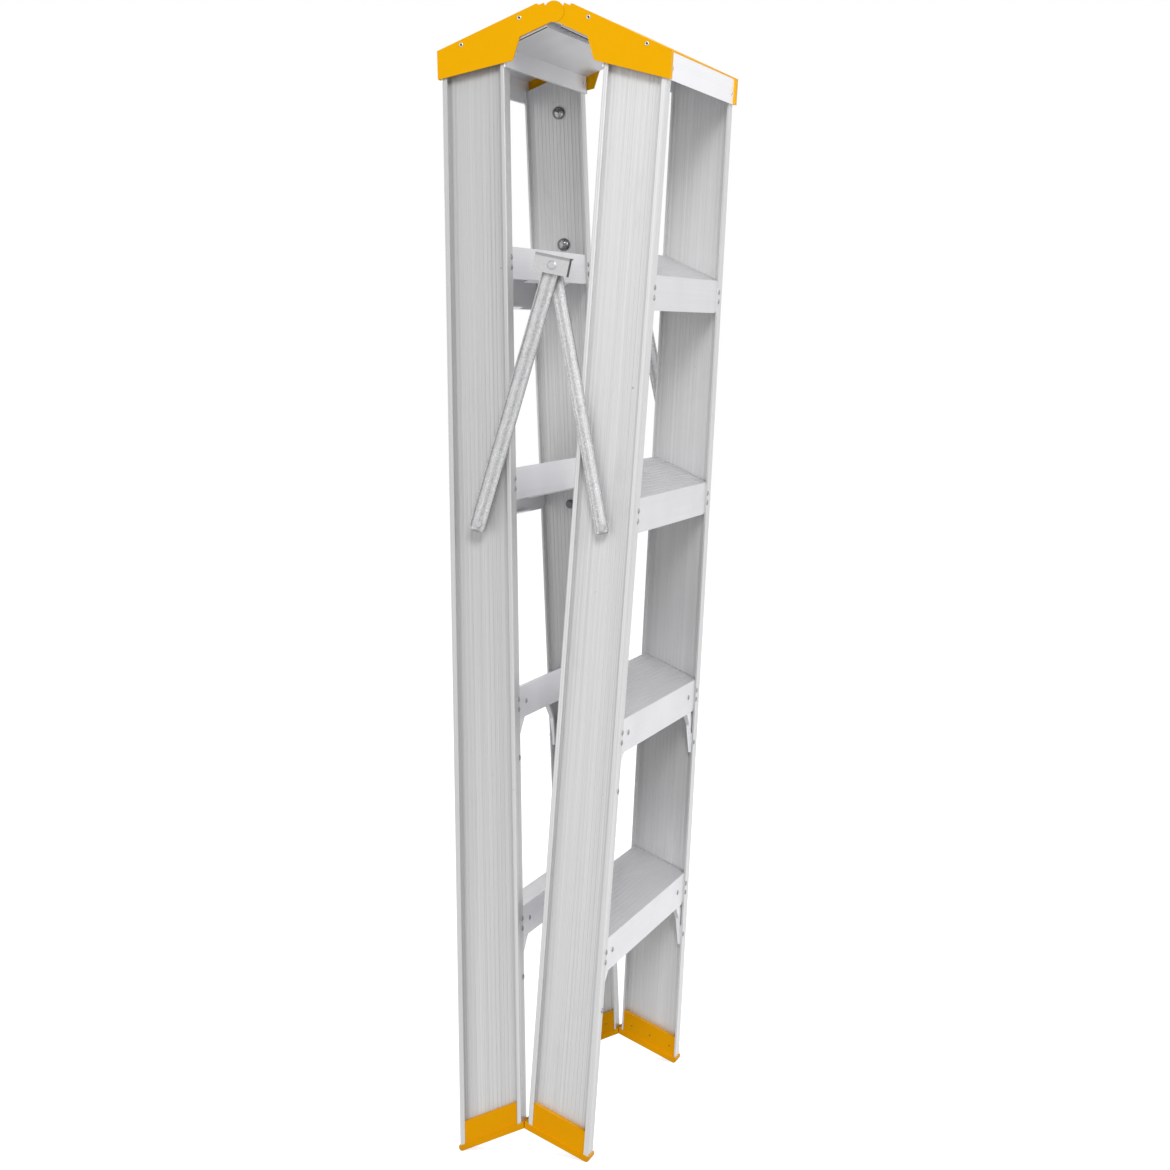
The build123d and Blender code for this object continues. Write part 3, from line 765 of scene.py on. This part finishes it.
def top_rivet_spots(side):
    """Rivets through the walls of the top extrusion."""
    spots = []
    walls = (
        (hinge_setback + stile_depth + channel_wall, 1, front_rivet_level),
        (hinge_setback - channel_wall, -1, rear_rivet_level),
    )
    for across, outwards, level in walls:
        along = along_at(across, level)
        facing = across_direction(side, outwards)
        for end in ends:
            y = web_y(along) - stile_width / 2 + rivet_edge
            spots.append((on_stile(side, across, along, ends[end] * y), facing))
    return spots


for side in sides:
    plant(
        f"foot_pins_{side}", domed_heads, foot_pin_spots(side), f"{side}_frame", "foot_plastic",
        Radius=1.4 * millimetre, Rim=0.3 * millimetre, Dome=0.4 * millimetre,
        Segments=12, Finish=pin_brown,
    )
    plant(
        f"top_rivets_{side}", domed_heads, top_rivet_spots(side), f"{side}_frame", "plated_steel",
        Radius=3.4 * millimetre, Rim=0.4 * millimetre, Dome=1.0 * millimetre,
        Segments=14, Finish=stud_steel,
    )

# %% [markdown]
# ## Dome bolts
# Two polished dome heads sit on the inside of the far left stile, one near the top and one just
# above the first step. They use the same tree with larger sizes, and have nuts outside.

# %% Dome bolts
bolt_across = 111.5 * millimetre
bolt_alongs = (-98.1 * millimetre, -295.4 * millimetre)


def web_spot(side, end, across, along, outwards):
    """Point and facing on one face of a stile's web."""
    y = web_y(along) + outwards * web_face / cos(side_flare)
    return on_stile(side, across, along, ends[end] * y), web_direction(side, end, outwards)


bolt_spots = [web_spot("left", "far", bolt_across, along, -1) for along in bolt_alongs]
plant(
    "dome_bolts", domed_heads, bolt_spots, "left_frame", "plated_steel",
    Radius=9.6 * millimetre, Rim=1.8 * millimetre, Dome=5.4 * millimetre,
    Segments=32, Finish=bolt_chrome,
)

# %% [markdown]
# ## Nuts
# A nut is a six-sided drum on a thin washer. The tree for it joins the two shapes before they are
# copied. Nuts go on the outside of the dome bolts and on the inside of the spreader pivots.

# %% Tree of nuts, and the nuts
washer_segments = 24
washer_share = 1.35
nut_flats = 6
pivot_level = -599 * millimetre


def nut_graph():
    """Tree of hexagon nuts on round washers."""
    lengths = [(label, "length") for label in ("Radius", "Height", "Washer")]
    graph = Graph("washer_nuts", lengths + [("Finish", "finish")])
    radius, height, thickness = (graph.inputs[label] for label, kind in lengths)
    washer = graph.drum(washer_segments, graph.maths("MULTIPLY", radius, washer_share), thickness)
    nut = graph.drum(nut_flats, radius, height)
    half_washer = graph.maths("MULTIPLY", thickness, 0.5)
    nut_middle = graph.maths("ADD", thickness, graph.maths("MULTIPLY", height, 0.5))
    both = graph.joined(graph.raised(washer, half_washer), graph.raised(nut, nut_middle))
    graph.finish(graph.painted(graph.scatter(both)))
    return graph


washer_nuts = nut_graph()
pivot_across = hinge_setback + stile_depth / 2
pivot_along = along_at(pivot_across, pivot_level)
for side in sides:
    nut_spots = [web_spot(side, end, pivot_across, pivot_along, -1) for end in ends]
    if side == "left":
        nut_spots += [web_spot("left", "far", bolt_across, along, 1) for along in bolt_alongs]
    plant(
        f"nuts_{side}", washer_nuts, nut_spots, f"{side}_frame", "plated_steel",
        Radius=5.2 * millimetre, Height=4.6 * millimetre, Washer=1.0 * millimetre, Finish=nut_steel,
    )

# %% [markdown]
# ## Screws of the top covers
# Each cheek of a cover is held by two small screws. A screw shows a bright ring round a recess
# in shade, so the tree sweeps a small circle round a larger one for the ring, and sets a thin
# dark disc in it: painted shade of the recess.

# %% Tree of cover screws, and the screws
ring_segments = 20
ring_profile_segments = 8
cover_screw_places = ((47.5 * millimetre, 12.5 * millimetre), (136.5 * millimetre, 13.5 * millimetre))


def cover_screw_graph():
    """Tree of screw heads: a bright ring round a dark disc of painted shade for the recess."""
    sizes = (("Radius", "length"), ("Ring", "length"), ("Finish", "finish"), ("Recess", "finish"))
    graph = Graph("cover_screws", sizes)
    radius, thickness = graph.inputs["Radius"], graph.inputs["Ring"]
    path = graph.circle(ring_segments, radius)
    profile = graph.circle(ring_profile_segments, thickness)
    ring = graph.add("GeometryNodeCurveToMesh", {"Curve": path, "Profile Curve": profile})
    bright = graph.painted(graph.scatter(ring.outputs["Mesh"]))
    dark = graph.painted(graph.scatter(graph.drum(ring_segments, radius, thickness)), "Recess")
    graph.finish(graph.joined(bright, dark))
    return graph


def deck_point(side, x, y, z):
    """Point of a folded frame from a place on the open ladder, measured from the hinge."""
    out = x * cos(fold_angle) + z * sin(fold_angle)
    up = z * cos(fold_angle) - x * sin(fold_angle)
    return Vector((sides[side] * out, y, up + hinge_height))


cover_screws = cover_screw_graph()
for side in sides:
    low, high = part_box(f"top_cover_{side}")
    screw_spots = []
    for x, z in cover_screw_places:
        for y, facing in ((low.y, (0, -1, 0)), (high.y, (0, 1, 0))):
            screw_spots.append((deck_point(side, x, y, z), facing))
    plant(
        f"cover_screws_{side}", cover_screws, screw_spots, f"{side}_frame", "plated_steel",
        Radius=2.2 * millimetre, Ring=0.9 * millimetre, Finish=screw_zinc, Recess=painted_shade_black,
    )

# %% [markdown]
# ## Ends of the top beam
# Under the cheek of a cover the end of the box beam shows as a narrow grey strip, with a black
# slab along its lower edge: painted shadow of the gap under the strip. A black slab of painted
# shadow also runs down the rear wall of the extrusion. All are thin slabs with outlines drawn in
# the side view of the open ladder. Outlines are in millimetres.

# %% Strips and joints at the beam ends
beam_inner = 17.0
beam_bottom = -15.5
cheek_bottom = -11.0
rear_wall_bottom = -39.0
rear_wall = (hinge_setback - channel_wall) / millimetre
strip_short = 24.0
cheek_slant = 0.9
strip_proud = 0.5 * millimetre
# Painted shadow: the black slabs stand for the shade in the gaps under the strip and beside the rear
# wall.
shadow_gap_inset = 0.3 * millimetre
shadow_gap_width = 1.4
shadow_gap_proud = 0.25
grey_slot, shadow_gap_slot = 0, 1
strip_grey = plated_finish("strip_grey", (0.46, 0.46, 0.465), 0.5, 0.15)


def rear_wall_x(level):
    """Place of the rear wall's face towards the hinge at a level, in millimetres."""
    return rear_wall / cos(open_lean) - level * tan(open_lean)


def add_slab(mesh, side, outline, y_range, finish):
    """Slab with an outline in the side view of the open ladder, between two distances along Y."""
    corners = [
        mesh.verts.new(deck_point(side, x * millimetre, y, z * millimetre))
        for y in y_range for x, z in outline
    ]
    count = len(outline)
    front, back = corners[:count], corners[count:]
    faces = [mesh.faces.new(front), mesh.faces.new(back)]
    for first in range(count):
        last = (first + 1) % count
        faces.append(mesh.faces.new((front[first], front[last], back[last], back[first])))
    for face in faces:
        face.material_index = finish


def end_strip(low, high):
    """Outline of a strip on the end of the beam between two levels, short of the cheek's slant."""
    reach = rear_wall_x(cheek_bottom) - strip_short
    low_reach, high_reach = (reach - cheek_slant * (level - cheek_bottom) for level in (low, high))
    return (beam_inner, low), (low_reach, low), (high_reach, high), (beam_inner, high)


shadow_gap_top = beam_bottom + shadow_gap_width
rear_top, rear_foot = rear_wall_x(beam_bottom), rear_wall_x(rear_wall_bottom)
rear_shadow_gap = ((rear_top, beam_bottom), (rear_foot, rear_wall_bottom),
              (rear_foot - shadow_gap_proud, rear_wall_bottom), (rear_top - shadow_gap_proud, beam_bottom))
for side in sides:
    low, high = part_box(f"top_channel_{side}")
    slabs = bmesh.new()
    for reach, outwards in ((low.y, -1), (high.y, 1)):
        strip_range = (reach, reach + outwards * strip_proud)
        shadow_gap_start = reach - outwards * shadow_gap_inset
        shadow_gap_range = (shadow_gap_start, shadow_gap_start - outwards * shadow_gap_width * millimetre)
        add_slab(slabs, side, end_strip(shadow_gap_top, cheek_bottom), strip_range, grey_slot)
        # Painted shadow of the gap under the strip, and down the rear wall.
        add_slab(slabs, side, end_strip(beam_bottom, shadow_gap_top), strip_range, shadow_gap_slot)
        add_slab(slabs, side, rear_shadow_gap, shadow_gap_range, shadow_gap_slot)
    bmesh.ops.recalc_face_normals(slabs, faces=slabs.faces)
    mesh = bpy.data.meshes.new(f"beam_ends_{side}")
    slabs.to_mesh(mesh)
    slabs.free()
    mesh.materials.append(strip_grey)
    mesh.materials.append(painted_shade_black)
    piece = bpy.data.objects.new(f"beam_ends_{side}", mesh)
    bpy.context.scene.collection.objects.link(piece)
    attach(piece, f"{side}_frame")
    print(piece.name, "faces", len(mesh.polygons))

# %% [markdown]
# ## Studio
# The floor and the surround are white. The surround is white only to the eye and in reflections,
# and softer as a light, so the ladder isn't washed out. The floor shows a faint shadow under the
# feet. The main lamp is high in front, so that the treads shade the bays under them. A second lamp
# on the right gives the bright step fronts and flanges, and lamps on the left and at the back fill
# the shade.

# %% Floor, surround and lamps
felt_strength = 0.5
floor_grey = 0.42
floor_glow = 0.82
white = (1, 1, 1, 1)


def light_path_share(tree):
    """One for rays from the eye, a mirror or glass, else nothing."""
    path = tree.nodes.new("ShaderNodeLightPath").outputs
    direct = combine(tree, "MAXIMUM", path["Is Camera Ray"], path["Is Glossy Ray"])
    return combine(tree, "MAXIMUM", direct, path["Is Transmission Ray"])


world = bpy.data.worlds.new("studio")
bpy.context.scene.world = world
world.use_nodes = True
surround = world.node_tree
surround.nodes.clear()
output = surround.nodes.new("ShaderNodeOutputWorld")
seen = surround.nodes.new("ShaderNodeBackground")
seen.inputs["Strength"].default_value = 1.0
seen.inputs["Color"].default_value = white
felt = surround.nodes.new("ShaderNodeBackground")
felt.inputs["Color"].default_value = (0.97, 0.985, 1, 1)
felt.inputs["Strength"].default_value = felt_strength
either = surround.nodes.new("ShaderNodeMixShader")
surround.links.new(light_path_share(surround), either.inputs["Fac"])
surround.links.new(felt.outputs[0], either.inputs[1])
surround.links.new(seen.outputs[0], either.inputs[2])
surround.links.new(either.outputs[0], output.inputs["Surface"])

floor_mesh = bpy.data.meshes.new("floor")
floor_level = solid_box[0][2]
floor_reach = 14.0
floor_corners = [
    (x * floor_reach, y * floor_reach, floor_level) for x, y in ((-1, -1), (1, -1), (1, 1), (-1, 1))
]
floor_mesh.from_pydata(floor_corners, [], [(0, 1, 2, 3)])
floor = bpy.data.objects.new("floor", floor_mesh)
bpy.context.scene.collection.objects.link(floor)
floor_finish = bpy.data.materials.new("floor_white")
floor_finish.use_nodes = True
floor_tree = floor_finish.node_tree
floor_tree.nodes.clear()
floor_output = floor_tree.nodes.new("ShaderNodeOutputMaterial")
matt = floor_tree.nodes.new("ShaderNodeBsdfDiffuse")
matt.inputs["Color"].default_value = (floor_grey, floor_grey, floor_grey, 1)
glow = floor_tree.nodes.new("ShaderNodeEmission")
glow.inputs["Color"].default_value = white
shown = combine(floor_tree, "MULTIPLY", light_path_share(floor_tree), floor_glow)
floor_tree.links.new(shown, glow.inputs["Strength"])
together = floor_tree.nodes.new("ShaderNodeAddShader")
floor_tree.links.new(matt.outputs[0], together.inputs[0])
floor_tree.links.new(glow.outputs[0], together.inputs[1])
floor_tree.links.new(together.outputs[0], floor_output.inputs["Surface"])
floor_mesh.materials.append(floor_finish)


def soft_lamp(name, place, aim, size, power):
    """Square lamp that faces a point."""
    lamp = bpy.data.lights.new(name, "AREA")
    lamp.size = size
    lamp.energy = power
    holder = bpy.data.objects.new(name, lamp)
    holder.location = place
    holder.rotation_euler = (Vector(aim) - Vector(place)).to_track_quat("-Z", "Y").to_euler()
    bpy.context.scene.collection.objects.link(holder)
    return holder


middle = Vector((0, 0, hinge_height / 2))
lamps = (
    soft_lamp("key_front", (2.4, -6.4, 5.4), middle, 2.4, 390),
    soft_lamp("side_right", (3.7, -0.6, 3.1), middle, 3.4, 84),
    soft_lamp("fill_left", (-3.2, -3.2, 1.8), middle, 2.4, 12),
    soft_lamp("fill_back", (-2.0, 4.4, 4.8), middle, 2.4, 110),
)
print("lamps", [(lamp.name, lamp.data.energy) for lamp in lamps])

# %% [markdown]
# ## Camera
# The ladder is seen from its near right corner, a little above the middle, through a long lens.
# The yaw, pitch and roll were worked out from the lines of the stiles and treads. Blender's
# camera looks along its own minus Z, so the three directions are put into a matrix.

# %% Camera
camera_place = Vector((1.00970, -4.00842, 1.14580))
camera_yaw = radians(14.14433)
camera_pitch = radians(5.21953)
camera_roll = radians(-0.98867)
focal_pixels = 2855.55
picture_pixels = 1170
sensor = 36.0
level = cos(camera_pitch)
ahead = Vector((-sin(camera_yaw) * level, cos(camera_yaw) * level, -sin(camera_pitch)))
right = Vector((cos(camera_yaw), sin(camera_yaw), 0))
down = ahead.cross(right)
rolled_right = cos(camera_roll) * right + sin(camera_roll) * down
rolled_down = cos(camera_roll) * down - sin(camera_roll) * right
lens = bpy.data.cameras.new("camera")
lens.sensor_fit = "AUTO"
lens.sensor_width = sensor
lens.lens = focal_pixels / picture_pixels * sensor
camera = bpy.data.objects.new("camera", lens)
turn = Matrix((rolled_right, -rolled_down, -ahead)).transposed()
camera.matrix_world = Matrix.Translation(camera_place) @ turn.to_4x4()
bpy.context.scene.collection.objects.link(camera)
bpy.context.scene.camera = camera
print("lens", round(lens.lens, 2), "mm")

# %% [markdown]
# ## Finish
# The view is left plain, so that a colour comes out as it is written.

# %% Plain view
bpy.context.scene.view_settings.view_transform = "Standard"
